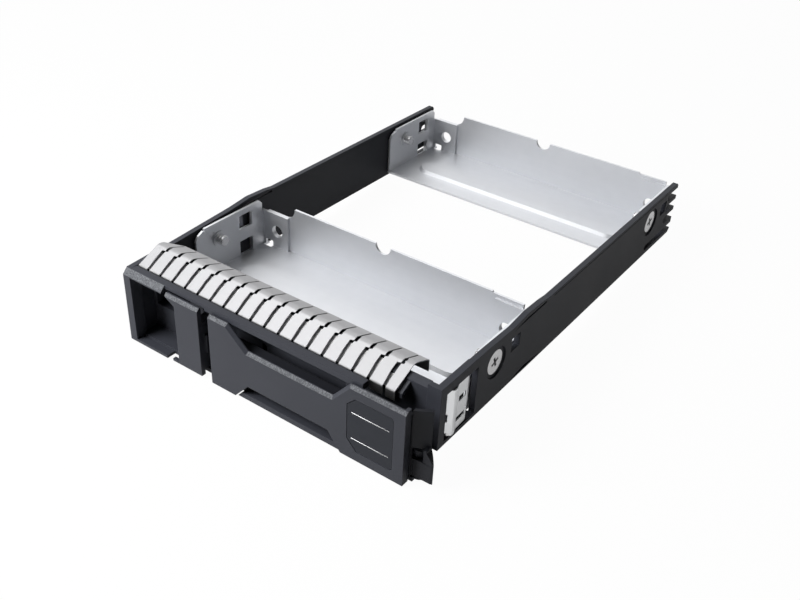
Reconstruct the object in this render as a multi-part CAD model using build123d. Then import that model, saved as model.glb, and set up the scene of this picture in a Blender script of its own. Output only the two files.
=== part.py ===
from build123d import *

import os

# A 3.5-inch drive tray for a server's drive bay, with two sheet-metal pans that fill the
# drive's place. Millimetres. X runs along the front from left to right, Y runs to the rear and
# Z is up. The origin is the bezel's lower left front corner. The open side faces up.

# Overall size of the moulded tray
TRAY_W = 106.2
TRAY_L = 158.8
BEZEL_H = 25.0
RAIL_T = 1.8
RAIL_BOTTOM = 8.1
RAIL_TOP = 27.3
RAIL_CROWN = 0.9
RAIL_FRONT_RIGHT = 8.9
LIP_RISE = 0.7
NOTCH_L = 6.8
LOW_SLOT_L = 21.6
LINE_DEPTH = 0.2

# Room beside the drive, which is 101.6 wide, and the screws that hold it
DRIVE_INSET = 2.3
SCREW_Y_FRONT = 35.9
SCREW_PITCH = 101.6
SCREW_Z = 20.6

# Front box behind the lever
BOX_DEPTH = 19.4
WALL = 1.6
BOX_WALL_Y = 9.0
DECK_T = 1.4
STRUT = 1.1
FLOOR_T = 1.4
FLOOR_Y = 3.0
LIP_FRONT = 1.6
LIP_T = 2.3
LIP_DROP = 2.0
LIP_RIGHT = 87.5
RIM_CHAMFER = 0.9
WINDOW_SIDE = 2.8
WINDOW_RIGHT = 15.9
WINDOW_SILL = 0.9
WINDOW_POST = 2.0

# The two pans, of folded sheet, each with one long raised panel
SHEET = 0.8
PAN_LIFT = 1.2
PAN_WALL_RISE = 5.8
SCREW_TO_WALL = 21.6
SCREW_TO_FRONT = 9.6
EMBOSS_TO_SCREW = 3.3
EMBOSS_W = 12.3
EMBOSS_INSET = 12.8
EMBOSS_RISE = 1.1
FLANGE_TOP = 22.4
FLANGE_HOLE_R = 2.2
FLANGE_HOLE_IN = 6.7
FLANGE_HOLE_Z = 16.0

# Spring sheet
FINGER_SHEET = 0.25
SPRING_SHEET = 0.3

# Finger strip over the front box
STRIP_LEFT = 2.1
STRIP_INSET = 10.89
FINGERS = 19
TOE_SLOT = 1.0
FINGER_SLOT = 1.3
BEND_SLOT = 1.15
FINGER_NECK = 0.45
SLOT_AT_TOE = -1.0
SLOT_ON_SLOPE = -1.35
SLOT_ON_ARCH = -0.42
FINGER_BEND_Y = 11.3
FINGER_BEND_Z = 28.1
CREST_Y = 12.9
CREST_Z = 28.55
STRIP_REAR_Z = 26.45
FINGER_TOE = 22.4
STRIP_END_W = 2.4
STRIP_OVERHANG = 7.3

# Lever, which turns about an upright pin at its right end
LEVER_LEFT = 34.4
LEVER_INSET = 4.2
FACE_T = 1.3
LEVER_PIN_INSET = 3.2
LEVER_PIN_Y = 6.3
LEVER_PIN_R = 1.25
LEVER_KNUCKLE_R = 2.3
HOOK_LOW = 2.0
HOOK_HIGH = 7.8
HOOK_LENGTH = 5.8

# Release button, which turns about an upright pin behind its face
BUTTON_LEFT = 20.9
BUTTON_RIGHT = 30.3
BUTTON_WING = 3.7
BUTTON_T = 1.5
BUTTON_PIN_X = 28.6
BUTTON_PIN_Y = 6.6
BUTTON_PIN_R = 1.0
BUTTON_KNUCKLE_TOP = 18.4

# Clearances
RUN = 0.05
GAP = 0.3

# Screw, UNC 6-32 with a countersunk head
SCREW_R = 1.7
HEAD_R = 3.7
HEAD_CONE = 1.4
HEAD_RIM = 0.4
SCREW_TIP = 3.0
BORE_R = 4.9

# Side contact spring and its window in the right rail
SIDE_Y0 = 11.7
SIDE_Y1 = 26.4
SIDE_BACK = 23.0
SIDE_Z0 = 9.4
SIDE_Z1 = 24.9

# Values worked out from those above
DRIVE_LEFT = DRIVE_INSET
DRIVE_RIGHT = TRAY_W - DRIVE_INSET
DRIVE_W = DRIVE_RIGHT - DRIVE_LEFT
BRACKET_FLOOR = RAIL_BOTTOM + PAN_LIFT
BRACKET_TOP = SCREW_Z + PAN_WALL_RISE
WINDOW_HEAD = BEZEL_H - 2.2
LEVER_TOP = BEZEL_H - 0.9
BUTTON_TOP = BEZEL_H - 1.5
LEVER_RIGHT = TRAY_W - LEVER_INSET
LEVER_PIN_X = TRAY_W - LEVER_PIN_INSET
HOOK_REACH = LEVER_PIN_X + HOOK_LENGTH
STRIP_RIGHT = TRAY_W - STRIP_INSET
FINGER_PITCH = (STRIP_RIGHT - STRIP_LEFT - STRIP_END_W) / (FINGERS - 1)
LIP_BACK = LIP_FRONT + LIP_T
BOX_RIGHT = STRIP_RIGHT - STRIP_OVERHANG
FINGER_REST_RIGHT = STRIP_RIGHT + 1.5
WALL_BACK = BOX_WALL_Y + WALL


def block(x0, x1, y0, y1, z0, z1):
    """A box between two corners."""
    centre = Location(((x0 + x1) / 2, (y0 + y1) / 2, (z0 + z1) / 2))
    return centre * Box(x1 - x0, y1 - y0, z1 - z0)


def upright(points, z0, z1):
    """A plan outline, given as (x, y) points, raised from z0 to z1."""
    outline = make_face(Polyline(*[(x, y, z0) for x, y in points], close=True))
    return extrude(outline, z1 - z0, dir=(0, 0, 1))


def along_x(points, x0, x1):
    """A section, given as (y, z) points, carried along X from x0 to x1."""
    outline = make_face(Polyline(*[(x0, y, z) for y, z in points], close=True))
    return extrude(outline, x1 - x0, dir=(1, 0, 0))


def along_y(points, y0, y1):
    """A front outline, given as (x, z) points, carried along Y from y0 to y1."""
    outline = make_face(Polyline(*[(x, y0, z) for x, z in points], close=True))
    return extrude(outline, y1 - y0, dir=(0, 1, 0))


def post(x, y, radius, z0, z1):
    """An upright cylinder."""
    return Location((x, y, (z0 + z1) / 2)) * Cylinder(radius, z1 - z0)


def rod_x(y, z, radius, x0, x1):
    """A cylinder along X."""
    return Location(((x0 + x1) / 2, y, z)) * Rotation(0, 90, 0) * Cylinder(radius, x1 - x0)


def folded(points, sheet):
    """The closed outline of a sheet that follows a centre line, with mitred corners."""
    line = [Vector(a, b) for a, b in points]
    runs = [(after - before).normalized() for before, after in zip(line, line[1:])]
    left, right = [], []
    for i, point in enumerate(line):
        before = runs[max(i - 1, 0)]
        after = runs[min(i, len(runs) - 1)]
        along = (before + after).normalized()
        across = Vector(-along.Y, along.X)
        reach = sheet / 2 / across.dot(Vector(-after.Y, after.X))
        left.append(point + across * reach)
        right.append(point - across * reach)
    return [(corner.X, corner.Y) for corner in left + right[::-1]]


def rim_corner():
    """The bezel's bevelled top front corner, as (y, z) points from the face up."""
    return [(0, BEZEL_H - LIP_FRONT - 0.2), (LIP_FRONT - 0.1, BEZEL_H - 0.2), (LIP_FRONT + 0.1, BEZEL_H)]


def mirror_x(shape):
    """The shape's mirror image about the tray's middle plane."""
    return mirror(shape, about=Plane.YZ.offset(TRAY_W / 2))


# Carrier frame

def rail_section(front, front_low):
    """Side outline of a rail, with its crowned spring arm behind the front."""
    arm = [(44.0, RAIL_TOP), (52.0, RAIL_TOP + RAIL_CROWN), (60.0, RAIL_TOP + RAIL_CROWN * 0.6),
           (64.0, RAIL_TOP)]
    rear = [(TRAY_L - 0.8, RAIL_TOP), (TRAY_L, RAIL_TOP - 0.8),
            (TRAY_L, RAIL_BOTTOM + 1.2), (TRAY_L - 1.2, RAIL_BOTTOM)]
    return front + arm + rear + front_low


def spring_arm_slots(x0, x1):
    """Long thin slots that free a spring arm at the top and the bottom of a rail."""
    top = along_x([(44.0, RAIL_TOP - 1.2), (62.5, RAIL_TOP - 0.95), (62.5, RAIL_TOP - 0.35),
                   (52.0, RAIL_TOP - 0.35)], x0, x1)
    low = along_x([(45.0, RAIL_BOTTOM + 0.6), (53.0, RAIL_BOTTOM + 1.7),
                   (63.0, RAIL_BOTTOM + 0.6)], x0, x1)
    return top + low


def drive_windows(x0, x1):
    """The small square window behind each screw."""
    cut = Part()
    for y in (SCREW_Y_FRONT, SCREW_Y_FRONT + SCREW_PITCH):
        cut += block(x0, x1, y + 7.7, y + 12.4, SCREW_Z - 1.1, SCREW_Z + 3.4)
    return cut


def rear_notches(x0, x1):
    """Three open notches at the rear end of a rail, and a long open slot under them."""
    cut = Part()
    for z in (24.1, 19.8, 15.5):
        start = TRAY_L - NOTCH_L
        cut += block(x0, x1, start, TRAY_L + 1, z - 1.45, z + 1.45)
        cut += rod_x(start, z, 1.45, x0, x1)
    start = TRAY_L - LOW_SLOT_L
    cut += block(x0, x1, start, TRAY_L + 1, RAIL_BOTTOM + 1.6, RAIL_BOTTOM + 3.7)
    cut += rod_x(start, RAIL_BOTTOM + 2.65, 1.05, x0, x1)
    return cut


def edge_line(start):
    """The fine groove along a rail, just under the top edge of its outer face."""
    top = RAIL_TOP - 0.7
    return block(TRAY_W - LINE_DEPTH, TRAY_W + 1, start, TRAY_L - 9.0, top - 0.25, top)


def left_rail():
    """The left rail, which grows out of the bezel's corner."""
    front = [(0, 0)] + rim_corner() + [(18.0, BEZEL_H + LIP_RISE)]
    low = [(WALL_BACK + 4.0, RAIL_BOTTOM), (WALL_BACK, 4.0), (WALL_BACK, 0)]
    rail = along_x(rail_section(front, low), 0, RAIL_T)
    cuts = rear_notches(-1, RAIL_T + 1) + spring_arm_slots(-1, RAIL_T + 1)
    return rail - cuts - drive_windows(-1, RAIL_T + 1) - mirror_x(edge_line(72.0))


def right_rail():
    """The right rail, which starts behind the lever's hook."""
    inner = TRAY_W - RAIL_T
    front = [(RAIL_FRONT_RIGHT, RAIL_BOTTOM + 1.0), (RAIL_FRONT_RIGHT, RAIL_TOP + 0.5),
             (30.0, RAIL_TOP + 0.5)]
    low = [(RAIL_FRONT_RIGHT + 1.0, RAIL_BOTTOM)]
    rail = along_x(rail_section(front, low), inner, TRAY_W)
    cuts = rear_notches(inner - 1, TRAY_W + 1) + spring_arm_slots(inner - 1, TRAY_W + 1)
    rail = rail - cuts - drive_windows(inner - 1, TRAY_W + 1) - edge_line(67.0)
    seat_end = SCREW_Y_FRONT - SCREW_TO_FRONT - GAP
    backing = block(inner - 1.2, inner, SIDE_Y0 - 2.5, seat_end, RAIL_BOTTOM, RAIL_TOP - 1)
    window = block(inner, TRAY_W + 1, SIDE_Y0, SIDE_Y1, SIDE_Z0, SIDE_Z1)
    window += block(inner - 2, TRAY_W, SIDE_BACK, SIDE_Y1, SIDE_Z0, SIDE_Z1)
    return rail + backing - window


def screw_seats(shape):
    """Add the inner bosses and cut the four countersunk screw seats."""
    for y in (SCREW_Y_FRONT, SCREW_Y_FRONT + SCREW_PITCH):
        for side in (0, 1):
            boss = rod_x(y, SCREW_Z, BORE_R + 0.9, RAIL_T - 0.2, DRIVE_LEFT)
            seat = rod_x(y, SCREW_Z, BORE_R, -1, 0.5)
            seat += rod_x(y, SCREW_Z, SCREW_R + RUN, -1, DRIVE_LEFT + 1)
            seat += screw_head(y, HEAD_R + RUN)
            if side:
                boss, seat = mirror_x(boss), mirror_x(seat)
            shape = shape + boss - seat
    return shape


def deck_section():
    """The roof of the front box, which slopes under the strip's fingers, as (y, z) points."""
    top = [(LIP_BACK + 1.5, 24.2), (FINGER_BEND_Y, FINGER_BEND_Z - 0.95), (CREST_Y, CREST_Z - 0.95),
           (BOX_DEPTH - 1.0, STRIP_REAR_Z - 0.95), (BOX_DEPTH, STRIP_REAR_Z - 1.3)]
    return top + [(y, z - DECK_T) for y, z in top[::-1]]


def finger_rest():
    """The sloping part of that roof alone, which runs on past the box's end."""
    top = deck_section()[:2]
    return top + [(y, z - DECK_T) for y, z in top[::-1]]


def bezel():
    """The window rim, the lip over the lever, the floor and the box walls."""
    box_z = RAIL_BOTTOM + FLOOR_T
    wall_top = 25.0
    rim = along_x(rim_corner() + [(LIP_BACK, BEZEL_H), (LIP_BACK, WINDOW_HEAD), (0, WINDOW_HEAD)],
                  0, WINDOW_RIGHT)
    side = block(0, WINDOW_SIDE, 0, LIP_BACK, 0, WINDOW_HEAD)
    side += block(0, STRIP_LEFT - GAP, 0, BOX_WALL_Y, 0, WINDOW_HEAD)
    lip = block(0, LIP_RIGHT, LIP_FRONT, LIP_BACK, BEZEL_H - LIP_DROP, BEZEL_H)
    sill = block(0, WINDOW_RIGHT, 0, FLOOR_Y + 0.2, 0, WINDOW_SILL)
    floor = block(0, LEVER_PIN_X, FLOOR_Y, WALL_BACK, 0, FLOOR_T)
    ledge = along_y([(LEVER_LEFT + 9.7, 0), (LEVER_RIGHT - 20.9, 0), (LEVER_RIGHT - 22.5, 1.8),
                     (LEVER_LEFT + 11.3, 1.8)], 0.6, FLOOR_Y + 0.2)
    post_left = WINDOW_RIGHT + WINDOW_POST
    front_wall = block(post_left, FINGER_REST_RIGHT, BOX_WALL_Y, WALL_BACK, 0, wall_top)
    under_window = block(0, post_left, BOX_WALL_Y, WALL_BACK, 0, box_z)
    end_wall = along_x([(BOX_WALL_Y, RAIL_BOTTOM), (BOX_WALL_Y, 26.5), (WALL_BACK + 0.8, 27.3),
                        (WALL_BACK + 0.8, RAIL_BOTTOM)], BOX_RIGHT - STRUT, TRAY_W - 4.3)
    end_wall += block(BOX_RIGHT - STRUT, LEVER_PIN_X, BOX_WALL_Y, WALL_BACK, 0, RAIL_BOTTOM + 1.0)
    corner = block(TRAY_W - 4.3, TRAY_W, RAIL_FRONT_RIGHT, WALL_BACK, RAIL_BOTTOM, RAIL_TOP + 0.5)
    box_floor = block(0, BOX_RIGHT, BOX_WALL_Y, BOX_DEPTH, RAIL_BOTTOM, box_z)
    rear_wall = block(0, BOX_RIGHT, BOX_DEPTH - WALL, BOX_DEPTH, RAIL_BOTTOM, 24.6)
    deck = along_x(deck_section(), RAIL_T, BOX_RIGHT)
    deck += along_x(finger_rest(), RAIL_T, FINGER_REST_RIGHT)
    joined = rim + side + lip + sill + floor + ledge + front_wall + under_window + end_wall
    joined += corner + box_floor + rear_wall + deck
    middle, right = LEVER_LEFT - 1.4, LEVER_RIGHT - 21.0
    for x in (RAIL_T, middle, right, BOX_RIGHT - STRUT):
        joined += block(x, x + STRUT, BOX_WALL_Y, BOX_DEPTH, RAIL_BOTTOM, wall_top)
    for x in (RAIL_T, middle, right):
        joined += block(x, x + STRUT, FLOOR_Y, BOX_WALL_Y + 0.2, 19.4, FINGER_TOE - GAP)
        joined += block(x, x + STRUT, FLOOR_Y, LIP_BACK, 19.4, BEZEL_H - 1)
    over_button = block(BUTTON_LEFT - BUTTON_WING - 1.3, BUTTON_RIGHT + 1.3, LIP_FRONT - 1,
                        LIP_BACK + 1, BEZEL_H - LIP_DROP - 1, BUTTON_TOP + GAP)
    return joined - over_button


def pin_ears():
    """The ears over and under the lever's hook and the release button."""
    ears = Part()
    lever = (LEVER_PIN_X, LEVER_PIN_Y)
    for z0, z1 in ((0.2, HOOK_LOW - GAP), (HOOK_HIGH + GAP, HOOK_HIGH + GAP + 1.9)):
        ears += post(*lever, 2.2, z0, z1)
        ears += block(lever[0] - 2.2, lever[0] + 1.6, lever[1], BOX_WALL_Y + 0.5, z0, z1)
    button = (BUTTON_PIN_X, BUTTON_PIN_Y)
    z0 = BUTTON_KNUCKLE_TOP + GAP
    ears += post(*button, 2.0, z0, z0 + 1.4)
    ears += block(button[0] - 2.0, button[0] + 2.0, button[1], BOX_WALL_Y + 0.5, z0, z0 + 1.4)
    return ears


def carrier_frame():
    """The whole black moulding: bezel, front box and both rails."""
    frame = left_rail() + right_rail() + bezel() + pin_ears()
    frame -= post(LEVER_PIN_X, LEVER_PIN_Y, LEVER_PIN_R, 0, HOOK_HIGH + 3)
    frame -= post(BUTTON_PIN_X, BUTTON_PIN_Y, BUTTON_PIN_R, 0, BUTTON_KNUCKLE_TOP + 3)
    frame -= block(46.4, 48.0, BOX_WALL_Y - 1, WALL_BACK + 1, 10.5, 14.5)
    return screw_seats(frame)


# Sheet-metal pieces

def bracket(screw_y):
    """A drive-wide pan with a rear wall, screw tabs and corner flanges."""
    front = screw_y - SCREW_TO_FRONT
    wall_y = screw_y + SCREW_TO_WALL
    z0, z1 = BRACKET_FLOOR, BRACKET_TOP
    pan = block(DRIVE_LEFT, DRIVE_RIGHT, front, wall_y + SHEET, z0, z0 + SHEET)
    pan += stadium(screw_y + EMBOSS_TO_SCREW, z0)
    pan -= stadium(screw_y + EMBOSS_TO_SCREW, z0 - SHEET)
    wall = block(DRIVE_LEFT + 2.2, DRIVE_RIGHT - 2.3, wall_y, wall_y + SHEET, z0, z1)
    notch = z1 - FLANGE_TOP
    notch_x = DRIVE_LEFT + 13.9 - notch
    wall -= block(DRIVE_LEFT + 1, notch_x, wall_y - 1, wall_y + 2, FLANGE_TOP, z1 + 1)
    wall -= Location((notch_x, wall_y, z1)) * Rotation(90, 0, 0) * Cylinder(notch, 6)
    wall -= Location((TRAY_W / 2 - 1.2, wall_y, z1)) * Rotation(90, 0, 0) * Cylinder(2.9, 6)
    wall -= block(DRIVE_RIGHT - 12.7, DRIVE_RIGHT, wall_y - 1, wall_y + 2, z1 - 0.4, z1 + 1)
    sheet = pan + wall
    for side in (0, 1):
        flange_top = 24.8 if side else FLANGE_TOP
        tab = screw_tab(screw_y, front, wall_y, z0, z1)
        flange = block(DRIVE_LEFT + SHEET, DRIVE_LEFT + 11.3, wall_y - SHEET, wall_y, z0 + 0.4,
                       flange_top)
        relief = block(DRIVE_LEFT + 2 * SHEET, DRIVE_LEFT + 4.7, wall_y - 2, wall_y + 2, z0 - 0.2,
                       z0 + 2.6)
        hole = Location((DRIVE_LEFT + FLANGE_HOLE_IN, wall_y, FLANGE_HOLE_Z))
        hole = hole * Rotation(90, 0, 0) * Cylinder(FLANGE_HOLE_R, 6)
        if side:
            tab, flange = mirror_x(tab), mirror_x(flange)
            relief, hole = mirror_x(relief), mirror_x(hole)
        sheet = sheet + tab + flange - relief - hole
    return sheet


def screw_tab(screw_y, front, wall_y, z0, z1):
    """A side tab with its threaded collar and its two square windows."""
    x0, x1 = DRIVE_LEFT, DRIVE_LEFT + SHEET
    outline = [(front + 0.8, z0), (front, z0 + 1.5), (front, z1 - 3.2), (front + 1.0, z1 - 1.6),
               (front + 3.2, z1 - 0.6), (front + 3.6, z1 - 1.1), (front + 3.9, z1),
               (wall_y - 2.6, z1), (wall_y - 1.4, z1 - 1.2), (wall_y - 1.4, FLANGE_TOP),
               (wall_y, FLANGE_TOP), (wall_y, z0)]
    tab = along_x(outline, x0, x1)
    tab += rod_x(screw_y, SCREW_Z, SCREW_R + 0.9, x1 - 0.1, x1 + 0.5)
    for low in (BRACKET_FLOOR + 0.9, SCREW_Z - 1.1):
        tab -= block(x0 - 1, x1 + 1, screw_y + 9.3, screw_y + 14.7, low, low + 4.9)
        hinge_y = screw_y + 14.7
        tab += block(x1 - 0.2, x1 + 0.7, hinge_y - 0.1, hinge_y + 0.5, low + 0.2, low + 4.7)
    return tab - rod_x(screw_y, SCREW_Z, SCREW_R, x0 - 1, x1 + 2)


def stadium(mid_y, z):
    """A pan's long raised panel, with round ends and sloping sides."""
    length = DRIVE_W - 2 * EMBOSS_INSET
    low = Plane.XY.offset(z) * Pos(TRAY_W / 2, mid_y)
    high = Plane.XY.offset(z + SHEET + EMBOSS_RISE) * Pos(TRAY_W / 2, mid_y)
    return loft([low * SlotCenterToCenter(length, EMBOSS_W),
                 high * SlotCenterToCenter(length, EMBOSS_W - 3.0)])


def finger_strip():
    """The top contact strip: a band that arches down at the rear and into fingers in front."""
    half = FINGER_SHEET / 2
    toe_y = LIP_BACK + 0.35 + half
    rear_y = BOX_DEPTH + half
    centre = [(toe_y, FINGER_TOE), (toe_y, 24.9), (FINGER_BEND_Y, FINGER_BEND_Z),
              (FINGER_BEND_Y + 0.8, CREST_Z - 0.05), (CREST_Y, CREST_Z), (CREST_Y + 1.0, CREST_Z - 0.15),
              (BOX_DEPTH - 0.6, STRIP_REAR_Z), (rear_y, STRIP_REAR_Z - 0.6), (rear_y, 22.0)]
    strip = along_x(folded(centre, FINGER_SHEET), STRIP_LEFT, STRIP_RIGHT)
    for i in range(1, FINGERS):
        strip -= finger_slot(STRIP_LEFT + i * FINGER_PITCH)
    corner = upright([(STRIP_LEFT - 1, BOX_DEPTH - 4.6), (STRIP_LEFT, BOX_DEPTH - 4.6),
                      (STRIP_LEFT + 4.4, BOX_DEPTH + 1), (STRIP_LEFT - 1, BOX_DEPTH + 1)], 20, 30)
    return strip - corner


def finger_slot(x):
    """One slot: it widens up the slope, jogs aside at the bend and narrows along the arch."""
    bend, end = FINGER_BEND_Y, BOX_DEPTH - 1.1
    stations = [(0, SLOT_AT_TOE, TOE_SLOT), (5.0, SLOT_AT_TOE, TOE_SLOT),
                (8.5, SLOT_ON_SLOPE, FINGER_SLOT), (bend, SLOT_ON_SLOPE, FINGER_SLOT),
                (bend, SLOT_ON_ARCH, BEND_SLOT), (bend + 2.0, SLOT_ON_ARCH, BEND_SLOT),
                (bend + 2.4, SLOT_ON_ARCH, FINGER_NECK), (end, SLOT_ON_ARCH, FINGER_NECK)]
    left = [(x + middle - width / 2, y) for y, middle, width in stations]
    right = [(x + middle + width / 2, y) for y, middle, width in stations]
    return upright(left + right[::-1], 20.0, 30.0)


def side_spring():
    """The contact spring in the right rail: a ridge, then a slotted flat that slopes in."""
    x = TRAY_W - RAIL_T + SPRING_SHEET / 2
    crest = TRAY_W + 0.3
    centre = [(x, SIDE_Y0 + 0.2), (x, SIDE_Y0 + 1.0), (crest, 14.7), (crest, 15.7),
              (TRAY_W - 0.35, 17.4), (TRAY_W - 0.5, 22.2), (TRAY_W - 1.0, SIDE_BACK + 0.2)]
    strip = upright(folded(centre, SPRING_SHEET), SIDE_Z0 + 0.3, SIDE_Z1 - 0.3)
    for z0, z1, y0 in ((12.2, 13.6, 17.2), (18.4, 20.2, 18.0)):
        strip -= block(x - 2, TRAY_W + 2, y0, 21.4, z0, z1)
    for z0, z1 in ((SIDE_Z0, 10.6), (14.3, 16.9)):
        strip -= block(x - 2, TRAY_W + 1, SIDE_Y0, 13.6, z0, z1)
    return strip


def screw_head(y, radius):
    """Countersunk head and rim, seated in the rail."""
    rim = rod_x(y, SCREW_Z, radius, 0.45, 0.45 + HEAD_RIM)
    cone = Location((0.45 + HEAD_RIM + HEAD_CONE / 2, y, SCREW_Z)) * Rotation(0, 90, 0)
    return rim + cone * Cone(radius, SCREW_R, HEAD_CONE)


def drive_screw(y, right):
    """A countersunk drive screw with a cross recess; its tip stands in the bay."""
    tip = DRIVE_LEFT + SHEET + SCREW_TIP
    screw = screw_head(y, HEAD_R)
    screw += rod_x(y, SCREW_Z, SCREW_R, 0.45 + HEAD_RIM, tip - 0.5)
    end = Location((tip - 0.25, y, SCREW_Z)) * Rotation(0, 90, 0) * Cone(SCREW_R, SCREW_R - 0.5, 0.5)
    screw += end
    for turn in (0, 90):
        cross = Location((0.45, y, SCREW_Z)) * Rotation(turn + 20, 0, 0) * Box(2.4, 0.85, 3.4)
        screw -= cross
    return mirror_x(screw) if right else screw


# Lever

def lever_face():
    """The lever's cover plate, with a finger recess at the top and one at the bottom."""
    left, right = LEVER_LEFT, LEVER_RIGHT
    outline = [(left, 0), (left + 9.2, 0), (left + 14.2, 5.5), (right - 24.7, 5.5), (right - 20.4, 0),
               (right, 0), (right, LEVER_TOP), (right - 17.8, LEVER_TOP), (right - 23.6, 17.4),
               (left + 14.3, 17.4), (left + 7.0, BUTTON_TOP), (left, BUTTON_TOP)]
    plate = along_y(outline, 0, FACE_T)
    upper = plate.edges().filter_by(lambda e: e.center().Y < 0.1 and e.center().Z > 16
                                    and abs(e.tangent_at(0.5).X) > 0.5)
    plate = chamfer(upper, RIM_CHAMFER)
    end = block(LEVER_RIGHT - 1.1, LEVER_RIGHT, FACE_T, 2.5, 0, LEVER_TOP)
    return plate + end - along_y(inlay_outline(0.12), -1, 0.45)


def inlay_outline(grow):
    """The six-cornered label field on the lever's right block."""
    x0, x1 = LEVER_RIGHT - 18.2 - grow, LEVER_RIGHT - 3.6 + grow
    z0, z1 = 3.2 - grow, 20.4 + grow
    return [(x0 + 3.3, z0), (x1 - 0.6, z0), (x1, z0 + 0.6), (x1, z1 - 0.6), (x1 - 0.6, z1),
            (x0 + 2.7, z1), (x0, z1 - 2.6), (x0, z0 + 3.4)]


def label_inlay():
    """A thin blank plate let into the lever's face."""
    return along_y(inlay_outline(0), 0.05, 0.45)


def lever_arm():
    """The lever's bearing part: a channel bar, the knuckle, the ejector hook and the catch."""
    right = LEVER_RIGHT
    left = LEVER_LEFT + 1.2
    bar = block(left, right - 2.4, FACE_T, 5.2, 6.6, 16.3)
    bay = (right - 2.4 - left - 1.2) / 4
    for i in range(4):
        x = left + 1.2 + i * bay
        bar -= block(x, x + bay - 1.2, FACE_T + 1.2, 6.0, 7.8, 15.1)
    back = block(right - 17.4, right - 1.2, FACE_T, FACE_T + 1.1, FLOOR_T + GAP,
                 BEZEL_H - LIP_DROP - GAP)
    catch = block(BUTTON_RIGHT + 1.4, left + 0.4, 3.9, 5.2, 8.0, 14.0)
    wrap = upright([(right - 2.6, FACE_T), (right - 1.2, FACE_T), (right - 1.2, 2.6), (right, 2.6),
                    (right + 4.6, 5.5), (right + 4.0, 6.4), (right - 0.4, 3.6), (right - 2.6, 3.6)],
                   11.5, 23.4)
    wrap -= block(right - 3, right + 0.1, 0, 4.0, 22.0, 25.0)
    web = block(right - 3.2, right + 0.4, 2.6, 3.6, HOOK_LOW, 22.0)
    hook = upright([(right - 1.6, 3.1), (HOOK_REACH - 0.6, 3.3), (HOOK_REACH, 3.5),
                    (HOOK_REACH - 0.1, 3.8), (HOOK_REACH - 1.1, 4.8), (LEVER_PIN_X + 2.7, 6.6),
                    (LEVER_PIN_X + 1.1, 7.8), (LEVER_PIN_X - 2.4, 6.9)], HOOK_LOW, HOOK_HIGH)
    hook += post(LEVER_PIN_X, LEVER_PIN_Y, LEVER_KNUCKLE_R, HOOK_LOW, HOOK_HIGH)
    inner = LEVER_PIN_X + 2.6
    crook = upright([(inner, 3.4), (HOOK_REACH - 0.6, 3.3), (HOOK_REACH, 3.5), (HOOK_REACH - 0.1, 3.8),
                     (HOOK_REACH - 1.1, 4.8), (HOOK_REACH - 2.3, 5.8), (inner, 5.9)], 7.0, 12.0)
    crook -= along_y([(HOOK_REACH + 1, 7.8), (HOOK_REACH, 8.0), (HOOK_REACH - 0.5, 9.2),
                      (HOOK_REACH - 1.3, 10.4), (HOOK_REACH - 2.2, 11.3), (HOOK_REACH - 2.2, 13),
                      (HOOK_REACH + 1, 13)], 2.0, 7.0)
    arm = bar + back + catch + wrap + web + hook + crook
    return arm - post(LEVER_PIN_X, LEVER_PIN_Y, LEVER_PIN_R + RUN, 0, HOOK_HIGH + 1)


def lever_pin():
    """The steel pin that the lever turns on."""
    return post(LEVER_PIN_X, LEVER_PIN_Y, LEVER_PIN_R, 0.3, HOOK_HIGH + GAP + 2.1)


def kick_spring():
    """A leaf spring on the box wall that starts the lever out when it is let go."""
    y = BOX_WALL_Y - SPRING_SHEET / 2
    centre = [(54.0, y), (60.0, y), (76.0, 5.2 + GAP + 0.2), (78.0, 5.9)]
    return upright(folded(centre, SPRING_SHEET), 7.2, 10.8)


# Release button

def release_button():
    """The button: a face with an overhanging wing, a knuckle on the pin and a catch barb."""
    x0, x1 = BUTTON_LEFT, BUTTON_RIGHT
    face = along_y([(x0, 0.3), (x1, 0.3), (x1, BUTTON_TOP), (x0 - BUTTON_WING, BUTTON_TOP),
                    (x0 - BUTTON_WING, BUTTON_TOP - 0.7), (x0, BUTTON_TOP - 3.0)], 0, BUTTON_T)
    face -= along_x([(-1, BUTTON_TOP - RIM_CHAMFER - 1), (RIM_CHAMFER, BUTTON_TOP),
                     (RIM_CHAMFER, BUTTON_TOP + 1), (-1, BUTTON_TOP + 1)], x0 - 9, x1 + 9)
    toe = block(x0 - 2.6, x0 + 0.5, 0, BUTTON_T - 0.4, 0.3, 1.1)
    web = block(x0, x0 + 1.3, BUTTON_T, 4.6, 2.0, 17.0) + block(x1 - 1.3, x1, BUTTON_T, 4.6, 2.0, 17.0)
    shelf = block(x0, x1, BUTTON_T, 4.9, 8.0, 9.3) + block(x0, x1, BUTTON_T, 4.9, 14.0, 15.3)
    knuckle = post(BUTTON_PIN_X, BUTTON_PIN_Y, 2.0, 2.0, BUTTON_KNUCKLE_TOP)
    knuckle += block(BUTTON_PIN_X - 1.6, BUTTON_PIN_X + 1.6, BUTTON_T, BUTTON_PIN_Y, 2.0,
                     BUTTON_KNUCKLE_TOP)
    barb = block(x1 - 0.5, x1 + 1.0, 2.0, 3.3, 8.0, 14.0)
    button = face + toe + web + shelf + knuckle + barb
    return button - post(BUTTON_PIN_X, BUTTON_PIN_Y, BUTTON_PIN_R + RUN, 0, 25)


def button_pin():
    """The steel pin that the button turns on."""
    return post(BUTTON_PIN_X, BUTTON_PIN_Y, BUTTON_PIN_R, 0.2, BUTTON_KNUCKLE_TOP + GAP + 1.5)


def button_spring():
    """A leaf spring from the box wall to the button's wing side."""
    y = BOX_WALL_Y - SPRING_SHEET / 2
    centre = [(15.6, y), (18.0, y), (22.6, 6.7), (24.2, 6.6)]
    return upright(folded(centre, SPRING_SHEET), 5.2, 8.6)


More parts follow.
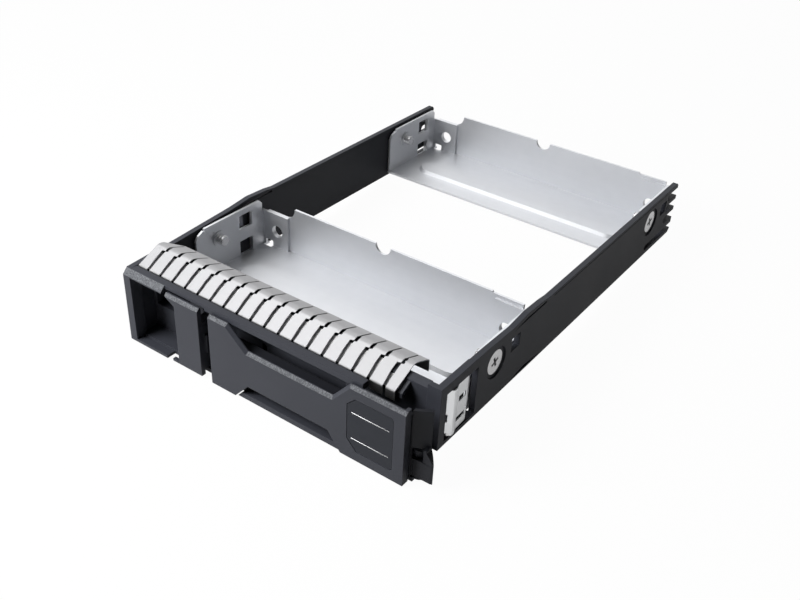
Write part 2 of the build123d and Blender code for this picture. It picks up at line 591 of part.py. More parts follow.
def main():
    """Write one STEP file for each piece."""
    rear = SCREW_Y_FRONT + SCREW_PITCH
    pieces = {
        "carrier_frame": carrier_frame(),
        "front_bracket": bracket(SCREW_Y_FRONT),
        "rear_bracket": bracket(rear),
        "finger_strip": finger_strip(),
        "side_spring": side_spring(),
        "lever_face": lever_face(),
        "label_inlay": label_inlay(),
        "lever_arm": lever_arm(),
        "lever_pin": lever_pin(),
        "kick_spring": kick_spring(),
        "release_button": release_button(),
        "button_pin": button_pin(),
        "button_spring": button_spring(),
        "screw_front_left": drive_screw(SCREW_Y_FRONT, False),
        "screw_front_right": drive_screw(SCREW_Y_FRONT, True),
        "screw_rear_left": drive_screw(rear, False),
        "screw_rear_right": drive_screw(rear, True),
    }
    os.makedirs("parts", exist_ok=True)
    for name, piece in pieces.items():
        export_step(piece, os.path.join("parts", name + ".step"))


if __name__ == "__main__":
    main()
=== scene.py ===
"""Dresses the drive carrier's frame and sets up its studio.

Sizes are in millimetres and become metres where a mesh is filled. X runs along the front, Y to
the rear and Z up, and the origin is the bezel's lower left front corner.
"""

import logging
from dataclasses import dataclass, field
from enum import Enum
from math import radians

import bpy
import numpy as np
from mathutils import Matrix, Vector


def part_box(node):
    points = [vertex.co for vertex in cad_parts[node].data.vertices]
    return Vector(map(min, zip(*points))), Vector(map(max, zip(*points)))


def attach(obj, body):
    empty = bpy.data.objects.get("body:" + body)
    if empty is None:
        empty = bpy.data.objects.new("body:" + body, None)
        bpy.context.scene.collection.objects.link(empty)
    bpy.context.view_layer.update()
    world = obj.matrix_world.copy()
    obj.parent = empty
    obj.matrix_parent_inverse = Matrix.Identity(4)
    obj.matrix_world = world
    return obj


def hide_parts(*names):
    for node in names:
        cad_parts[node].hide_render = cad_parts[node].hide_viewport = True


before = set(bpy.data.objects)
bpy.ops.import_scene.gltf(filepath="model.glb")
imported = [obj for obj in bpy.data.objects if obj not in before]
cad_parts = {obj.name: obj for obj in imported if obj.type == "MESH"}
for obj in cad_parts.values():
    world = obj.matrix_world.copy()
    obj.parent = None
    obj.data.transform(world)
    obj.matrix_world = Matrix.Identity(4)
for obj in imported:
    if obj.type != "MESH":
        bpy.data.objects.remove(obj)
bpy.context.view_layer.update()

Triple = tuple[float, float, float]

MM = 0.001
PHOTO_WIDTH_PX = 800
SENSOR_WIDTH = 36.0
NEAR_CLIP_M = 0.005
FAR_CLIP_M = 50.0
WHITE = (1.0, 1.0, 1.0, 1.0)
# The Mix node's inputs and output when it mixes colours.
MIX_FACTOR, MIX_FIRST, MIX_SECOND = 0, 6, 7
MIX_COLOUR = 2
EDGE_SAMPLES = 6
CORNER_POINTS = 7
BOX_FACES = np.array([[0, 1, 3, 2], [4, 6, 7, 5], [0, 4, 5, 1], [2, 3, 7, 6],
                      [0, 2, 6, 4], [1, 5, 7, 3]])

log = logging.getLogger("drive_carrier")


class Body(Enum):
    """The bodies that new pieces ride on."""

    FRAME = "frame"
    LEVER = "lever"


class Grain(Enum):
    """A black moulding's grain: the strength of its relief and the roughness it starts from."""

    FINE = (0.35, 0.42)
    SATIN = (0.15, 0.36)

    @property
    def relief(self) -> float:
        """The strength of the grain's relief."""
        return self.value[0]

    @property
    def roughness(self) -> float:
        """The roughness that the patterns are added to."""
        return self.value[1]


@dataclass(frozen=True)
class Pattern:
    """A noise pattern: its cells per metre, its finer layers and its factor along each axis."""

    cells: float
    layers: float
    stretch: Triple = (1.0, 1.0, 1.0)


# Shader maths


class Value:
    """A shader socket that takes part in sums, products and powers."""

    def __init__(self, graph: "Graph", socket: bpy.types.NodeSocket) -> None:
        """Keep the socket and the graph it belongs to."""
        self.graph = graph
        self.socket = socket

    def _math(self, operation: str, first: object, second: object) -> "Value":
        """Add one Math node.

        Args:
            operation: the Math node's operation.
            first: the first operand, a Value or a number.
            second: the second operand, a Value or a number.

        Returns:
            The node's result.
        """
        return self.graph.node("ShaderNodeMath", {"operation": operation}, {0: first, 1: second})

    def __add__(self, other: object) -> "Value":
        """This value plus another."""
        return self._math("ADD", self, other)

    def __radd__(self, other: object) -> "Value":
        """Another plus this value."""
        return self._math("ADD", other, self)

    def __sub__(self, other: object) -> "Value":
        """This value less another."""
        return self._math("SUBTRACT", self, other)

    def __rsub__(self, other: object) -> "Value":
        """Another less this value."""
        return self._math("SUBTRACT", other, self)

    def __mul__(self, other: object) -> "Value":
        """This value times another."""
        return self._math("MULTIPLY", self, other)

    def __rmul__(self, other: object) -> "Value":
        """Another times this value."""
        return self._math("MULTIPLY", other, self)

    def __pow__(self, other: object) -> "Value":
        """This value raised to a power."""
        return self._math("POWER", self, other)

    def __rpow__(self, other: object) -> "Value":
        """Another raised to this value."""
        return self._math("POWER", other, self)


class Graph:
    """The node tree of one material, or of the surround."""

    def __init__(self, owner: bpy.types.ID) -> None:
        """Empty the owner's node tree.

        Args:
            owner: the new material or world.
        """
        owner.use_nodes = True
        self.owner = owner
        self.tree = owner.node_tree
        self.tree.nodes.clear()

    def node(self, kind: str, settings: dict, sockets: dict, output: int | str = 0) -> Value:
        """Add a node.

        Args:
            kind: the node's type.
            settings: attributes of the node, set first.
            sockets: input values or links by index or name.
            output: which output to return.

        Returns:
            The chosen output.
        """
        made = self.tree.nodes.new(kind)
        for key, value in settings.items():
            setattr(made, key, value)
        for key, value in sockets.items():
            if isinstance(value, Value):
                self.tree.links.new(value.socket, made.inputs[key])
            else:
                made.inputs[key].default_value = value
        return Value(self, made.outputs[output])

    def place(self, stretch: Triple = (1.0, 1.0, 1.0)) -> Value:
        """Object coordinates, stretched.

        Args:
            stretch: the factor along each axis.

        Returns:
            The coordinates.
        """
        plain = self.node("ShaderNodeTexCoord", {}, {}, "Object")
        return self.node("ShaderNodeMapping", {}, {"Vector": plain, "Scale": stretch})

    def noise(self, pattern: Pattern) -> Value:
        """A noise between 0 and 1.

        Args:
            pattern: its size, layers and stretch.

        Returns:
            The noise.
        """
        sockets = {"Vector": self.place(pattern.stretch), "Scale": pattern.cells,
                   "Detail": pattern.layers}
        return self.node("ShaderNodeTexNoise", {}, sockets)

    def tint(self, dark: Triple | Value, light: Triple | Value, factor: Value) -> Value:
        """A colour between two, by a factor.

        Args:
            dark: the colour at 0, three numbers or a Value.
            light: the colour at 1, three numbers or a Value.
            factor: the mix.

        Returns:
            The colour.
        """
        ends = [end if isinstance(end, Value) else (*end, 1.0) for end in (dark, light)]
        sockets = {MIX_FACTOR: factor, MIX_FIRST: ends[0], MIX_SECOND: ends[1]}
        return self.node("ShaderNodeMix", {"data_type": "RGBA"}, sockets, MIX_COLOUR)

    def larger(self, first: Value, second: Value | float) -> Value:
        """The larger of two values."""
        return self.node("ShaderNodeMath", {"operation": "MAXIMUM"}, {0: first, 1: second})

    def along(self, source: str, way: Triple) -> Value:
        """How far a direction of the Texture Coordinate node runs along another.

        Args:
            source: the node's output.
            way: the other direction.

        Returns:
            Their dot product.
        """
        found = self.node("ShaderNodeTexCoord", {}, {}, source)
        return self.node("ShaderNodeVectorMath", {"operation": "DOT_PRODUCT"}, {0: found, 1: way}, "Value")

    def facing(self, way: Triple, sharpness: float) -> Value:
        """How well a surface faces one way: max(normal . way, 0) to a power.

        Args:
            way: the unit direction.
            sharpness: the power.

        Returns:
            1 where it faces that way, and 0 well off it.
        """
        return self.larger(self.along("Normal", way), 0.0) ** sharpness

    def worn_normal(self, radius: float, height: Value, strength: float, depth: float) -> Value:
        """A normal with softened edges and a fine relief.

        Args:
            radius: the edge radius in metres.
            height: the relief's height pattern.
            strength: the relief's strength.
            depth: the relief's depth in metres.

        Returns:
            The normal.
        """
        soft = self.node("ShaderNodeBevel", {"samples": EDGE_SAMPLES}, {"Radius": radius})
        sockets = {"Height": height, "Strength": strength, "Distance": depth, "Normal": soft}
        return self.node("ShaderNodeBump", {}, sockets)

    def blend(self, share: Value, first: Value, second: Value) -> Value:
        """One shader at a share of 0 and another at 1."""
        return self.node("ShaderNodeMixShader", {}, {0: share, 1: first, 2: second})

    def show(self, surface: Value, output: str = "ShaderNodeOutputMaterial") -> None:
        """Send a shader to the tree's output."""
        shown = self.tree.nodes.new(output)
        self.tree.links.new(surface.socket, shown.inputs["Surface"])

    def finish(self, sockets: dict) -> bpy.types.Material:
        """Add the surface shader and the output.

        Args:
            sockets: the surface shader's inputs.

        Returns:
            The finished material.
        """
        self.show(self.node("ShaderNodeBsdfPrincipled", {}, sockets))
        return self.owner


# Finishes


@dataclass(frozen=True)
class MouldedPlastic:
    """Black moulded plastic with a fine grain, and a painted highlight in pale streaks on its front
    bevels.
    """

    name: str
    dark: Triple = (0.0232, 0.0246, 0.0305)
    light: Triple = (0.0308, 0.0325, 0.0395)
    grain: Grain = Grain.FINE
    # Painted highlight: front bevels facing bevel_way get these paler, streaky colours in place of a
    # lamp's sheen.
    bevel_highlight_dark: Triple = (0.030, 0.032, 0.037)
    bevel_highlight_light: Triple = (0.135, 0.139, 0.148)
    bevel_way: Triple = (0.0, -0.7071, 0.7071)
    bevel_sharpness: float = 24.0
    cloud: Pattern = Pattern(60.0, 3.0)
    specks: Pattern = Pattern(2600.0, 2.0)
    streaks: Pattern = Pattern(3600.0, 3.0, (1.0, 0.5, 0.5))
    streak_contrast: float = 2.4
    streak_cut: float = 0.75
    cloud_roughness: float = 0.10
    speck_roughness: float = 0.06
    speck_depth: float = 0.06 * MM
    edge_radius: float = 0.22 * MM
    sheen: float = 0.16

    def build(self) -> bpy.types.Material:
        """Make the material: cloudy tone, a painted highlight in streaks on the bevels, specks in the
        relief and roughness.

        Returns:
            The material.
        """
        graph = Graph(bpy.data.materials.new(self.name))
        cloud = graph.noise(self.cloud)
        specks = graph.noise(self.specks)
        streaks = graph.noise(self.streaks) * self.streak_contrast - self.streak_cut
        plain = graph.tint(self.dark, self.light, cloud)
        # Painted highlight: bevels facing bevel_way are tinted paler, in streaks, by the facing mask.
        painted_highlight = graph.tint(self.bevel_highlight_dark, self.bevel_highlight_light, streaks)
        highlight_share = graph.facing(self.bevel_way, self.bevel_sharpness)
        patterns = self.grain.roughness + cloud * self.cloud_roughness
        return graph.finish({
            "Base Color": graph.tint(plain, painted_highlight, highlight_share),
            "Roughness": patterns + specks * self.speck_roughness,
            "Specular IOR Level": self.sheen,
            "Normal": graph.worn_normal(self.edge_radius, specks, self.grain.relief, self.speck_depth),
        })


@dataclass(frozen=True)
class SheetSteel:
    """Bright sheet steel: rolled streaks, a faint spangle and soft folds."""

    name: str
    dark: Triple
    light: Triple
    roughness: float
    metallic: float = 1.0
    spangle: float = 0.0
    spangle_cells: float = 260.0
    rolled: Pattern = Pattern(420.0, 4.0, (0.04, 1.0, 1.0))
    cloud: Pattern = Pattern(45.0, 2.0)
    rolled_tone: float = 0.4
    cloud_tone: float = 0.4
    rolled_roughness: float = 0.10
    cloud_roughness: float = 0.06
    relief: float = 0.10
    rolled_depth: float = 0.04 * MM
    edge_radius: float = 0.05 * MM

    def build(self) -> bpy.types.Material:
        """Make the material: streaks along X and patches of slightly different grey.

        Returns:
            The material.
        """
        graph = Graph(bpy.data.materials.new(self.name))
        rolled = graph.noise(self.rolled)
        cloud = graph.noise(self.cloud)
        cells = {"Vector": graph.place(), "Scale": self.spangle_cells}
        patches = graph.node("ShaderNodeTexVoronoi", {}, cells)
        tone = rolled * self.rolled_tone + cloud * self.cloud_tone + patches * self.spangle
        patterns = self.roughness + rolled * self.rolled_roughness
        return graph.finish({
            "Base Color": graph.tint(self.dark, self.light, tone),
            "Metallic": self.metallic,
            "Roughness": patterns + cloud * self.cloud_roughness,
            "Normal": graph.worn_normal(self.edge_radius, rolled, self.relief, self.rolled_depth),
        })


@dataclass(frozen=True)
class PlatedSteel:
    """Zinc-plated steel of screws and pins."""

    name: str
    colour: tuple[float, float, float, float] = (0.80, 0.80, 0.81, 1.0)
    cloud: Pattern = Pattern(700.0, 2.0)
    roughness: float = 0.16
    cloud_roughness: float = 0.14
    relief: float = 0.15
    cloud_depth: float = 0.02 * MM
    edge_radius: float = 0.03 * MM

    def build(self) -> bpy.types.Material:
        """Make the material: plain metal with a cloudy roughness.

        Returns:
            The material.
        """
        graph = Graph(bpy.data.materials.new(self.name))
        cloud = graph.noise(self.cloud)
        return graph.finish({
            "Base Color": self.colour,
            "Metallic": 1.0,
            "Roughness": self.roughness + cloud * self.cloud_roughness,
            "Normal": graph.worn_normal(self.edge_radius, cloud, self.relief, self.cloud_depth),
        })


@dataclass(frozen=True)
class PrintedLabel:
    """The blank label field: smooth dark plastic, or the pale ink of its two rules."""

    name: str
    colour: Triple
    roughness: float
    lighter: float = 1.15
    cloud: Pattern = Pattern(140.0, 2.0)
    cloud_roughness: float = 0.08
    sheen: float = 0.2

    def build(self) -> bpy.types.Material:
        """Make the material: an even colour with a slight cloud.

        Returns:
            The material.
        """
        graph = Graph(bpy.data.materials.new(self.name))
        cloud = graph.noise(self.cloud)
        light = tuple(min(1.0, channel * self.lighter) for channel in self.colour)
        return graph.finish({
            "Base Color": graph.tint(self.colour, light, cloud),
            "Roughness": self.roughness + cloud * self.cloud_roughness,
            "Specular IOR Level": self.sheen,
        })


@dataclass
class Finishes:
    """All the finishes of the carrier, each built once."""

    plastic: MouldedPlastic = MouldedPlastic("black_moulding")
    face: MouldedPlastic = MouldedPlastic("black_face", grain=Grain.SATIN)
    # Painted shade: the lever arm gets a darker copy of the black moulding for its place in the pocket
    # under the rail.
    arm: MouldedPlastic = MouldedPlastic(
        "black_arm_painted_shade", dark=(0.0095, 0.0100, 0.0125), light=(0.0140, 0.0147, 0.0180))
    spring: SheetSteel = SheetSteel(
        "bright_spring_sheet", dark=(0.36, 0.36, 0.37), light=(0.58, 0.58, 0.59), roughness=0.44)
    # Painted light: the side spring faces away from the lamps, so it gets a paler copy of the spring sheet
    # for light from the right.
    side: SheetSteel = SheetSteel(
        "side_spring_painted_light", dark=(0.80, 0.81, 0.82), light=(0.90, 0.91, 0.92), roughness=0.34)
    # Painted light: the liner gets a paler, less metallic copy of the spring sheet so that the shaded
    # slots show grey.
    liner: SheetSteel = SheetSteel(
        "strip_liner_painted_light", dark=(0.66, 0.66, 0.67), light=(0.80, 0.80, 0.81), roughness=0.46,
        metallic=0.20)
    sheet: SheetSteel = SheetSteel(
        "galvanised_sheet", dark=(0.74, 0.755, 0.785), light=(0.86, 0.87, 0.895), roughness=0.42,
        metallic=0.92, spangle=0.16, edge_radius=0.03 * MM)
    plated: PlatedSteel = PlatedSteel("plated_steel")
    label: PrintedLabel = PrintedLabel("label_field", colour=(0.0105, 0.0118, 0.0158), roughness=0.42)
    ink: PrintedLabel = PrintedLabel("label_rule", colour=(0.62, 0.62, 0.63), roughness=0.5)
    built: dict[str, bpy.types.Material] = field(default_factory=dict)

    def material(self, kind: str) -> bpy.types.Material:
        """The material of one finish, made when it is first asked for.

        Args:
            kind: the field's name.

        Returns:
            The material.
        """
        if kind not in self.built:
            self.built[kind] = getattr(self, kind).build()
        return self.built[kind]

    def dress(self, piece: bpy.types.Object, kind: str) -> None:
        """Give a piece one finish all over."""
        piece.data.materials.clear()
        piece.data.materials.append(self.material(kind))


# Meshes


def fill_mesh(name: str, points: np.ndarray, quads: np.ndarray) -> bpy.types.Object:
    """Make an object from arrays.

    Args:
        name: the object's name.
        points: (..., 3) places in millimetres.
        quads: (..., 4) point numbers.

    Returns:
        The new object, linked to the scene.
    """
    mesh = bpy.data.meshes.new(name)
    mesh.from_pydata((points.reshape(-1, 3) * MM).tolist(), [], quads.reshape(-1, 4).tolist())
    mesh.validate()
    mesh.update()
    mesh.polygons.foreach_set("use_smooth", np.ones(len(mesh.polygons), dtype=bool))
    made = bpy.data.objects.new(name, mesh)
    bpy.context.scene.collection.objects.link(made)
    return made


def grid_quads(rows: int, columns: int) -> np.ndarray:
    """Quads of a grid whose points run row by row.

    Args:
        rows: the number of rows of points.
        columns: the number of points in a row.

    Returns:
        (rows - 1, columns - 1, 4) point numbers.
    """
    first = np.arange(rows - 1)[:, None] * columns + np.arange(columns - 1)[None, :]
    return np.stack([first, first + 1, first + columns + 1, first + columns], axis=-1)


def rounded_line(corners: np.ndarray, cuts: tuple[float, ...], step: float) -> np.ndarray:
    """A line through corners, each rounded by a parabola that touches both its sides.

    Between the ends of a corner's cut the curve is (1-t)^2 a + 2t(1-t) corner + t^2 b, where a
    and b lie on the two sides, the cut's length from the corner.

    Args:
        corners: (n, 2) corner points.
        cuts: the cut's length at each inner corner.
        step: the longest stretch between two points.

    Returns:
        (m, 2) points along the line.
    """
    pieces = [corners[:1]]
    t = np.linspace(0.0, 1.0, CORNER_POINTS)[:, None]
    for corner, before, after, cut in zip(corners[1:-1], corners[:-2], corners[2:], cuts):
        a = corner + (before - corner) / np.linalg.norm(before - corner) * cut
        b = corner + (after - corner) / np.linalg.norm(after - corner) * cut
        pieces.append((1 - t) ** 2 * a + 2 * t * (1 - t) * corner + t ** 2 * b)
    pieces.append(corners[-1:])
    rough = np.concatenate(pieces)
    lengths = np.concatenate([[0.0], np.cumsum(np.linalg.norm(np.diff(rough, axis=0), axis=1))])
    count = max(2, int(lengths[-1] / step))
    even = np.union1d(np.linspace(0.0, lengths[-1], count), lengths)
    return np.stack([np.interp(even, lengths, rough[:, axis]) for axis in (0, 1)], axis=-1)


def node_box(name: str) -> tuple[np.ndarray, np.ndarray]:
    """A CAD node's lowest and highest corners in millimetres."""
    low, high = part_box(name)
    return np.array(low) / MM, np.array(high) / MM


# Sub-assemblies


@dataclass
class FingerStrip:
    """The contact strip: an arched band that bends down into a row of springy fingers.

    The arch's corners are (behind bend_y, below the crest) and the rear fold's corners are
    (ahead of the rear, below the crest). A slot's stations are (y, middle, width).
    """

    finishes: Finishes
    pitch: float = 5.045
    count: int = 19
    sheet: float = 0.25
    bend_y: float = 11.3
    toe_lift: float = 0.1
    toe_bend_z: float = 24.9
    arch: tuple[tuple[float, float], ...] = ((0.0, 0.45), (0.8, 0.05), (1.6, 0.0), (2.6, 0.15))
    fold: tuple[tuple[float, float], ...] = ((0.72, 2.1), (0.0, 2.7))
    rear_lift: float = 0.2
    crest_gap: float = 0.02
    cuts: tuple[float, ...] = (0.35, 0.4, 0.3, 0.3, 0.4, 0.35, 0.3)
    step: float = 0.45
    stations: tuple[Triple, ...] = (
        (4.8, -1.0, 1.0), (8.5, -1.35, 1.3), (11.29, -1.35, 1.3), (11.31, -0.42, 1.0),
        (13.1, -0.42, 1.0), (13.6, -0.42, 0.45), (18.4, -0.42, 0.45))
    band_y: float = 17.9
    corner_y: float = 14.8
    corner_slope: float = 1.1
    corner_cut: float = 4.2
    per_finger: int = 5
    crisp_deg: float = 28.0

    def profile(self) -> np.ndarray:
        """The strip's centre line: up from the toe, over the arch and down the rear fold.

        Returns:
            (n, 2) points in Y and Z.
        """
        low, high = node_box("finger_strip")
        half = self.sheet / 2
        toe, rear, crest = low[1] + half, high[1] - half, high[2] - half - self.crest_gap
        arch = [[self.bend_y + behind, crest - below] for behind, below in self.arch]
        fold = [[rear - ahead, crest - below] for ahead, below in self.fold]
        corners = np.array([[toe, low[2] + self.toe_lift], [toe, self.toe_bend_z], *arch, *fold,
                            [rear, low[2] + self.rear_lift]])
        return rounded_line(corners, self.cuts, self.step)

    def slot_sides(self, line: np.ndarray) -> tuple[np.ndarray, np.ndarray]:
        """The left and right side of a slot, from its mark, at each point of the profile.

        Each station gives a place on Y, the slot's middle and its width; between two stations
        both run straight, so side = middle -+ width / 2.

        Args:
            line: (n, 2) points of the profile.

        Returns:
            Two (n,) arrays of X distances.
        """
        y, middle, width = np.array(self.stations).T
        centre = np.interp(line[:, 0], y, middle)
        half = np.interp(line[:, 0], y, width) / 2
        return centre - half, centre + half

    def build(self) -> bpy.types.Object:
        """Lay columns across each finger at every point of the profile.

        A finger's column lies at left + u (right - left), where left is the right side of the
        slot before the finger and right the left side of the slot after it. Behind corner_y the
        strip's left edge runs in by corner_slope, up to corner_cut. Quads between two fingers
        are kept only on the band behind the slots.

        Returns:
            The strip, which replaces the plain one.
        """
        low, high = node_box("finger_strip")
        line = self.profile()
        before, after = self.slot_sides(line)
        share = np.linspace(0.0, 1.0, self.per_finger)[None, None, :]
        marks = low[0] + self.pitch * np.arange(self.count)[None, :, None]
        left = marks + after[:, None, None]
        right = marks + self.pitch + before[:, None, None]
        run_in = (line[:, 0] - self.corner_y) * self.corner_slope
        left[:, 0, 0] = low[0] + np.clip(run_in, 0.0, self.corner_cut)
        right[:, -1, 0] = high[0]
        x = (left + share * (right - left)).reshape(len(line), -1)
        points = np.stack([x, np.repeat(line[:, :1], x.shape[1], 1),
                           np.repeat(line[:, 1:], x.shape[1], 1)], axis=-1)
        quads = grid_quads(*x.shape)
        between = (np.arange(x.shape[1] - 1) % self.per_finger) == self.per_finger - 1
        on_band = line[:-1, 0] >= self.band_y
        keep = ~between[None, :] | on_band[:, None]
        strip = fill_mesh("finger_strip_sheet", points, quads[keep])
        wall = strip.modifiers.new("sheet", "SOLIDIFY")
        wall.thickness = self.sheet * MM
        wall.offset = 0.0
        crisp = strip.modifiers.new("crisp", "EDGE_SPLIT")
        crisp.split_angle = radians(self.crisp_deg)
        self.finishes.dress(strip, "spring")
        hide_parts("finger_strip")
        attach(strip, Body.FRAME.value)
        return strip


@dataclass
class StripLiner:
    """The metal under-leg that shows through the slots, lying on the slope under the fingers; its finish
    is a paler copy of the spring sheet, painted light.

    Its front and rear edges are (y, z).
    """

    finishes: Finishes
    front: tuple[float, float] = (5.5, 24.32)
    rear: tuple[float, float] = (11.2, 27.17)
    inset: float = 0.3
    columns: int = 20
    rows: int = 5

    def build(self) -> bpy.types.Object:
        """Lay an even grid on the slope: (y, z) = front + v (rear - front), v from 0 to 1.

        Returns:
            The liner.
        """
        low, high = node_box("finger_strip")
        x, v = np.meshgrid(np.linspace(low[0] + self.inset, high[0] - self.inset, self.columns),
                           np.linspace(0.0, 1.0, self.rows))
        y, z = (front + v * (rear - front) for front, rear in zip(self.front, self.rear))
        liner = fill_mesh("strip_liner", np.stack([x, y, z], axis=-1), grid_quads(*x.shape))
        self.finishes.dress(liner, "liner")
        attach(liner, Body.FRAME.value)
        return liner


@dataclass
class ScrewThreads:
    """The turned threads on the screw tips that stand inside the pans."""

    finishes: Finishes
    radius: float = 1.62
    depth: float = 0.14
    pitch: float = 0.79
    length: float = 2.6
    past_tip: float = 0.05
    cone_start: float = 0.55
    cone_slope: float = 14.0
    flat_end: float = 1.03
    point_radius: float = 0.001
    around: int = 32
    along: int = 40

    def tip(self, name: str, start: float, end: float, y: float, z: float) -> bpy.types.Object:
        """One thread: radius + depth times a wave that climbs one pitch a turn.

        Near the end the radius is multiplied by cone_start + cone_slope (1 - run), kept between
        0 and 1. The last rings lie flat at the end, and the last of all closes to a point.

        Args:
            name: the piece's name.
            start: where the thread starts on X.
            end: where it ends on X.
            y: the screw's place on Y.
            z: the screw's place on Z.

        Returns:
            The thread, closed at its end.
        """
        turn, run = np.meshgrid(np.linspace(0.0, 2 * np.pi, self.around + 1),
                                np.linspace(0.0, 1.0, self.along))
        wave = 0.5 + 0.5 * np.cos(2 * np.pi * run * abs(end - start) / self.pitch - turn)
        cone = np.clip((1.0 - run) * self.cone_slope + self.cone_start, 0.0, 1.0)
        r = (self.radius + self.depth * wave) * cone
        r[-1] = self.point_radius
        x = start + (end - start) * np.clip(run * self.flat_end, 0.0, 1.0)
        points = np.stack([x, y + r * np.cos(turn), z + r * np.sin(turn)], axis=-1)
        quads = grid_quads(*x.shape)
        if end < start:
            quads = quads[..., ::-1]
        thread = fill_mesh(name, points, quads)
        self.finishes.dress(thread, "plated")
        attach(thread, Body.FRAME.value)
        return thread

    def build(self) -> list[bpy.types.Object]:
        """A thread for each of the four screws, inside its pan's tab.

        Returns:
            The threads.
        """
        made = []
        for row in ("front", "rear"):
            for side in ("left", "right"):
                low, high = node_box("screw_" + row + "_" + side)
                y, z = (low[1:] + high[1:]) / 2
                tip, way = (high[0], 1.0) if side == "left" else (low[0], -1.0)
                start, end = tip - way * self.length, tip + way * self.past_tip
                made.append(self.tip("thread_" + row + "_" + side, start, end, y, z))
        return made


@dataclass
class LabelRules:
    """Two thin pale rules across the blank label field."""

    finishes: Finishes
    heights: tuple[float, float] = (15.7, 7.1)
    left: float = 85.2
    right: float = 97.2
    width: float = 0.22
    proud: float = 0.02
    sunk: float = 0.05

    def build(self) -> list[bpy.types.Object]:
        """One thin slab for each rule, a hair proud of the label.

        Returns:
            The rules.
        """
        front = node_box("label_inlay")[0][1]
        made = []
        for number, height in enumerate(self.heights):
            x = np.array([self.left, self.right])
            y = np.array([front - self.proud, front + self.sunk])
            z = height + np.array([-0.5, 0.5]) * self.width
            corners = np.stack(np.meshgrid(x, y, z, indexing="ij"), axis=-1)
            rule = fill_mesh("label_rule_" + str(number + 1), corners, BOX_FACES)
            self.finishes.dress(rule, "ink")
            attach(rule, Body.LEVER.value)
            made.append(rule)
        return made


@dataclass
class CastAndFolded:
    """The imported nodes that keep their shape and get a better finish."""

    finishes: Finishes
    plan: dict[str, tuple[str, ...]] = field(default_factory=lambda: {
        "plastic": ("carrier_frame",),
        "arm": ("lever_arm",),
        "face": ("lever_face", "release_button"),
        "label": ("label_inlay",),
        "spring": ("finger_strip", "kick_spring", "button_spring"),
        "side": ("side_spring",),
        "sheet": ("front_bracket", "rear_bracket"),
        "plated": ("screw_front_left", "screw_front_right", "screw_rear_left",
                   "screw_rear_right", "lever_pin", "button_pin"),
    })

    def build(self) -> list[bpy.types.Object]:
        """Dress each node.

        Returns:
            The nodes.
        """
        made = []
        for kind, names in self.plan.items():
            for name in names:
                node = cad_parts[name]
                self.finishes.dress(node, kind)
                made.append(node)
        return made


# Studio


@dataclass(frozen=True)
class Lamp:
    """A soft square lamp: its place, side and power, and whether bright metal shows it."""

    name: str
    at: Triple
    size: float
    watts: float
    mirrored: bool


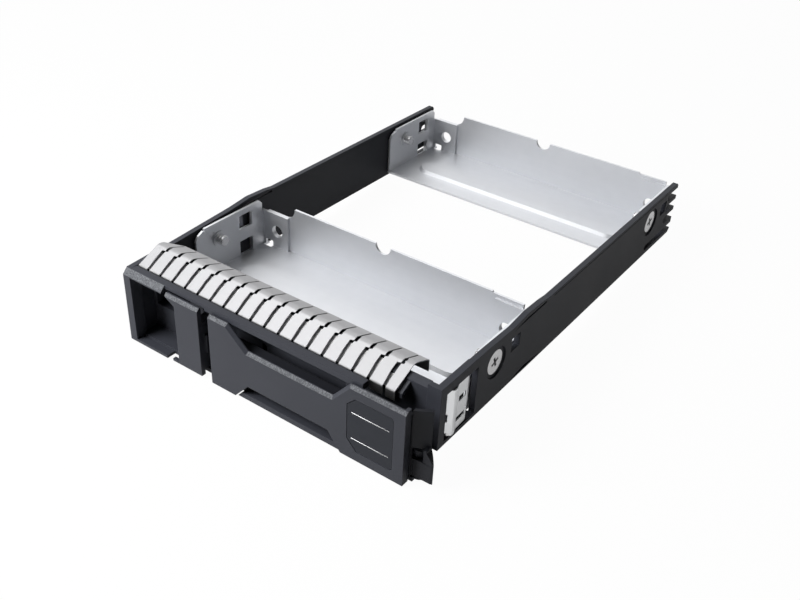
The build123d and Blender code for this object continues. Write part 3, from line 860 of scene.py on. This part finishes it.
@dataclass
class Studio:
    """Floor, light and camera."""

    camera_at: Triple = (200.76, -150.25, 176.08)
    looks_at: Triple = (61.99, 53.45, 13.0)
    roll_deg: float = -3.002
    focal_px: float = 964.91
    box_rear_y: float = 10.6
    rail_end_y: float = 157.6
    rail_bottom: float = 8.1
    floor_span: float = 6000.0
    floor_drop: float = 0.05
    floor_seen: float = 0.97
    floor_mirrored: float = 0.45
    floor_matt: tuple[float, float, float, float] = (0.55, 0.55, 0.55, 1.0)
    fill: float = 0.075
    mirrored_dark: float = 0.03
    mirrored_light: float = 1.2
    lighter_way: Triple = (-1.05, 0.3, 0.1)
    lighter_share: float = 0.38
    lamps: tuple[Lamp, ...] = (
        Lamp("key", at=(-190.0, -260.0, 280.0), size=260.0, watts=4.8, mirrored=False),
        Lamp("top", at=(-190.0, -60.0, 480.0), size=300.0, watts=0.95, mirrored=True),
        Lamp("rear", at=(-160.0, 560.0, 300.0), size=380.0, watts=0.3, mirrored=False))

    def floor(self) -> None:
        """A wide pale floor under the box's rear edge and the rails' rear ends.

        The carrier's rails stand higher than its box, so it rests with a small tilt, and in the
        carrier's own frame the floor is the one that slopes: z = (y - box_rear_y) slope - drop.
        """
        slope = self.rail_bottom / (self.rail_end_y - self.box_rear_y)
        side = np.array([-1.0, 1.0]) * self.floor_span
        x, y = np.meshgrid(side, side)
        z = (y - self.box_rear_y) * slope - self.floor_drop
        floor = fill_mesh("floor", np.stack([x, y, z], axis=-1), grid_quads(2, 2))
        graph = Graph(bpy.data.materials.new("floor_white"))
        camera = graph.node("ShaderNodeLightPath", {}, {}, "Is Camera Ray")
        glossy = graph.node("ShaderNodeLightPath", {}, {}, "Is Glossy Ray")
        seen = graph.larger(camera, glossy * self.floor_mirrored)
        matt = graph.node("ShaderNodeBsdfDiffuse", {}, {"Color": self.floor_matt})
        glow = graph.node("ShaderNodeEmission", {}, {"Color": WHITE, "Strength": 1.0})
        graph.show(graph.blend(seen * self.floor_seen, matt, glow))
        floor.data.materials.append(graph.owner)

    def world(self) -> None:
        """A white surround for the camera; metal mirrors one that darkens to the right and front.

        In a mirror the surround's share of the lighter tone is direction . lighter_way +
        lighter_share, kept between 0 and 1. What is lit by it gets the fill alone.
        """
        graph = Graph(bpy.data.worlds.new("surround"))
        bpy.context.scene.world = graph.owner
        dark, light, fill, white = (
            graph.node("ShaderNodeBackground", {}, {"Color": WHITE, "Strength": strength})
            for strength in (self.mirrored_dark, self.mirrored_light, self.fill, 1.0))
        toward = graph.along("Generated", self.lighter_way)
        clamped = {"operation": "ADD", "use_clamp": True}
        share = graph.node("ShaderNodeMath", clamped, {0: toward, 1: self.lighter_share})
        camera, glossy, through = (
            graph.node("ShaderNodeLightPath", {}, {}, "Is " + ray + " Ray")
            for ray in ("Camera", "Glossy", "Transmission"))
        lit = graph.blend(glossy, fill, graph.blend(share, dark, light))
        graph.show(graph.blend(graph.larger(camera, through), lit, white), "ShaderNodeOutputWorld")

    def hang(self, lamp: Lamp) -> None:
        """Hang a lamp and point it at the carrier.

        Args:
            lamp: its sizes.
        """
        data = bpy.data.lights.new(lamp.name, "AREA")
        data.size = lamp.size * MM
        data.energy = lamp.watts
        made = bpy.data.objects.new(lamp.name, data)
        made.location = Vector(lamp.at) * MM
        aim = Vector(self.looks_at) * MM - made.location
        made.rotation_euler = aim.to_track_quat("-Z", "Y").to_euler()
        made.visible_glossy = lamp.mirrored
        bpy.context.scene.collection.objects.link(made)

    def camera(self) -> None:
        """The camera: looks from one point to another, then turned about that line."""
        data = bpy.data.cameras.new("camera")
        data.sensor_width = SENSOR_WIDTH
        data.lens = self.focal_px / PHOTO_WIDTH_PX * SENSOR_WIDTH
        data.clip_start = NEAR_CLIP_M
        data.clip_end = FAR_CLIP_M
        camera = bpy.data.objects.new("camera", data)
        ahead = (Vector(self.looks_at) - Vector(self.camera_at)).normalized()
        right = ahead.cross(Vector((0.0, 0.0, 1.0))).normalized()
        down = ahead.cross(right)
        turn = Matrix.Rotation(radians(self.roll_deg), 3, ahead)
        right, down = turn @ right, turn @ down
        axes = Matrix((right, -down, -ahead)).transposed()
        camera.matrix_world = Matrix.Translation(Vector(self.camera_at) * MM) @ axes.to_4x4()
        bpy.context.scene.collection.objects.link(camera)
        bpy.context.scene.camera = camera

    def build(self) -> None:
        """Set up the whole studio."""
        self.floor()
        self.world()
        for lamp in self.lamps:
            self.hang(lamp)
        self.camera()
        bpy.context.scene.view_settings.view_transform = "Standard"


def main() -> None:
    """Build the sub-assemblies in order and report each piece."""
    finishes = Finishes()
    for part in (CastAndFolded(finishes), FingerStrip(finishes), StripLiner(finishes),
                 ScrewThreads(finishes), LabelRules(finishes)):
        made = part.build()
        for piece in made if isinstance(made, list) else [made]:
            log.info("%s: %s, %d faces", type(part).__name__, piece.name, len(piece.data.polygons))
    Studio().build()


if __name__ == "__main__":
    logging.basicConfig(level=logging.INFO, format="%(message)s")
    main()
